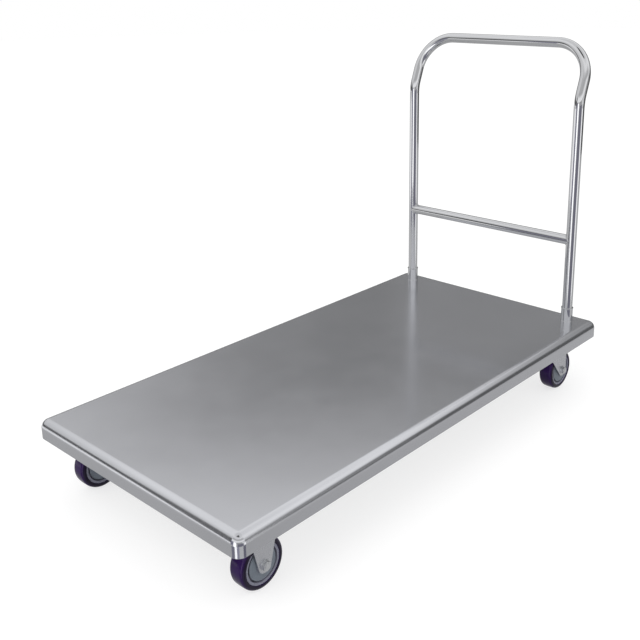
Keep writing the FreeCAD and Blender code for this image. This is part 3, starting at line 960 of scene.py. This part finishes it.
# The wall's brightness against height in metres: all round, on the camera's side, where the
# grip and crossbar mirror it as a dark line, on the truck's left, behind the handle, where the
# deck mirrors it, and in a darker strip of that
WALL_ROUND = [
    (1.2, 0.14), (1.28, 0.16), (1.42, 0.84), (2.5, 0.88), (3.2, 0.95), (3.9, 1.06), (5.0, 1.15),
]
WALL_NEAR = [
    (1.2, 0.3), (1.28, 0.4), (1.42, 1.25), (2.3, 1.2), (2.75, 0.8), (3.2, 0.62), (3.8, 0.64),
    (4.4, 0.8), (5.0, 0.95),
]
WALL_BAR = [
    (1.2, 0.16), (2.1, 0.2), (2.6, 0.75), (3.2, 0.9), (5.0, 1.05),
]
WALL_SIDE = [
    (1.2, 0.14), (1.35, 0.17), (1.65, 0.5), (2.0, 0.75), (2.3, 0.94), (2.7, 1.12), (3.0, 1.22),
    (5.0, 1.22),
]
WALL_BEHIND = [
    (1.2, 0.35), (1.9, 0.355), (2.1, 0.315), (2.33, 0.3), (2.5, 0.36), (2.7, 0.445), (2.95, 0.51),
    (3.1, 0.57), (3.4, 0.86), (3.9, 1.06), (5.0, 1.15),
]
WALL_STRIP = [
    (1.2, 0.3), (1.9, 0.31), (2.1, 0.275), (2.33, 0.265), (2.5, 0.34), (2.7, 0.44), (2.95, 0.51),
    (3.1, 0.57), (3.4, 0.86), (3.9, 1.06), (5.0, 1.15),
]
# Bearing of a sector's middle, half widths where it is full and where it ends, brightness
WALL_SECTORS = [
    (-55.0, 55.0, 85.0, WALL_NEAR),
    (-124.0, 5.0, 12.0, WALL_BAR),
    (55.0, 15.0, 40.0, WALL_SIDE),
    (108.0, 29.0, 66.0, WALL_BEHIND),
    (131.0, 2.5, 5.5, WALL_STRIP),
]


def tone_ramp(tree, position, stops, peak):
    """Brightness stops of (position from 0 to 1, level), as shares of the peak."""
    ramp = add(tree, "ValToRGB")
    elements = ramp.color_ramp.elements
    for place, level in stops[1:-1]:
        elements.new(place)
    for element, (place, level) in zip(elements, stops):
        element.color = (*grey(level / peak), 1)
    link(tree, position, ramp.inputs["Fac"])
    return ramp.outputs["Color"]


def wall_ramp(tree, height, stops):
    """Brightness stops of (metres up, level), for a height from 0 at the wall's foot to 1."""
    spread = WALL_HIGH - WALL_LOW
    places = [((z - WALL_LOW) / spread, level) for z, level in stops]
    return tone_ramp(tree, height, places, WALL_PEAK)


def wall_material():
    """The studio wall's brightness by height, which each sector changes in its own direction."""
    material, tree = new_material("studio_wall")
    place = add(tree, "TexCoord").outputs["Object"]
    height = ranged(tree, place_axes(tree, "Object")["Z"], 0, 1, start=WALL_LOW, end=WALL_HIGH)
    color = wall_ramp(tree, height, WALL_ROUND)
    for bearing, narrow, wide, stops in WALL_SECTORS:
        facing = add(tree, "VectorMath", operation="DOT_PRODUCT")
        angle = math.radians(bearing)
        facing.inputs[1].default_value = (
            math.cos(angle) / WALL_RADIUS, math.sin(angle) / WALL_RADIUS, 0
        )
        link(tree, place, facing.inputs[0])
        aside = combined(tree, "ARCCOSINE", facing.outputs["Value"])
        near = math.radians(narrow)
        far = math.radians(wide)
        inside = ranged(tree, aside, 1, 0, start=near, end=far, kind="SMOOTHSTEP")
        color = mixed(tree, inside, color, wall_ramp(tree, height, stops))
    light = add(tree, "Emission")
    light.inputs["Strength"].default_value = WALL_PEAK
    link(tree, color, light.inputs["Color"])
    surfaced(tree, light.outputs["Emission"])
    return material


def studio_wall():
    """A wall all round the truck, which only polished metal shows."""
    form = bmesh.new()
    rings = [level_ring(form, 0, 0, z, WALL_RADIUS, AROUND) for z in (WALL_LOW, WALL_HIGH)]
    joined_rings(form, rings)
    only_in_metal(staged("studio_wall", form, wall_material()))


# Elevation in degrees, brightness
SKY = [
    (-90, 0.58), (-30, 0.57), (-24, 0.62), (-18, 0.72), (-6, 0.76), (-5, 1.0), (30, 1.0),
    (50, 1.15), (65, 0.95), (90, 0.9),
]
SKY_PEAK = 1.2


def sky():
    """A soft studio sky, white from the horizon up and light grey below."""
    world = bpy.data.worlds.new("studio")
    bpy.context.scene.world = world
    world.use_nodes = True
    tree = world.node_tree
    tree.nodes.clear()
    height = ranged(tree, place_axes(tree, "Generated")["Z"], 0, 1, start=-1, end=1)
    stops = [((math.sin(math.radians(elevation)) + 1) / 2, level) for elevation, level in SKY]
    light = add(tree, "Background")
    light.inputs["Strength"].default_value = SKY_PEAK
    link(tree, tone_ramp(tree, height, stops, SKY_PEAK), light.inputs["Color"])
    output = add(tree, "OutputWorld")
    link(tree, light.outputs["Background"], output.inputs["Surface"])


def soft_lamp(name, bearing, elevation, distance, size, energy):
    """A large soft lamp aimed at the truck, for the shading of its plastic and rubber."""
    lamp = bpy.data.lights.new(name, "AREA")
    lamp.shape = "DISK"
    lamp.size = size
    lamp.energy = energy
    piece = bpy.data.objects.new(name, lamp)
    turn = Matrix.Rotation(math.radians(bearing), 4, "Z")
    tilt = Matrix.Rotation(math.radians(90 - elevation), 4, "Y")
    piece.matrix_world = turn @ tilt @ Matrix.Translation((0, 0, distance))
    piece.visible_camera = False
    piece.visible_glossy = False
    bpy.context.scene.collection.objects.link(piece)


floor()
sky()
studio_wall()
for card_name, card in CARDS.items():
    studio_card(card_name, *card)
soft_lamp("key_light", bearing=-85, elevation=50, distance=3.5, size=2.0, energy=15)
soft_lamp("low_fill_light", bearing=-20, elevation=7, distance=4.0, size=1.2, energy=24)


# Camera

camera = bpy.data.objects.new("camera", bpy.data.cameras.new("camera"))
camera.data.lens = CAMERA_LENS
camera.data.shift_y = CAMERA_SHIFT_Y
turn = Matrix.Rotation(math.radians(CAMERA_AZIMUTH), 4, "Z")
tilt = Matrix.Rotation(math.radians(90 - CAMERA_PITCH), 4, "X")
roll = Matrix.Rotation(math.radians(CAMERA_ROLL), 4, "Z")
camera.matrix_world = Matrix.Translation(CAMERA_PLACE) @ turn @ tilt @ roll
bpy.context.scene.collection.objects.link(camera)
bpy.context.scene.camera = camera
bpy.context.scene.view_settings.view_transform = "Standard"
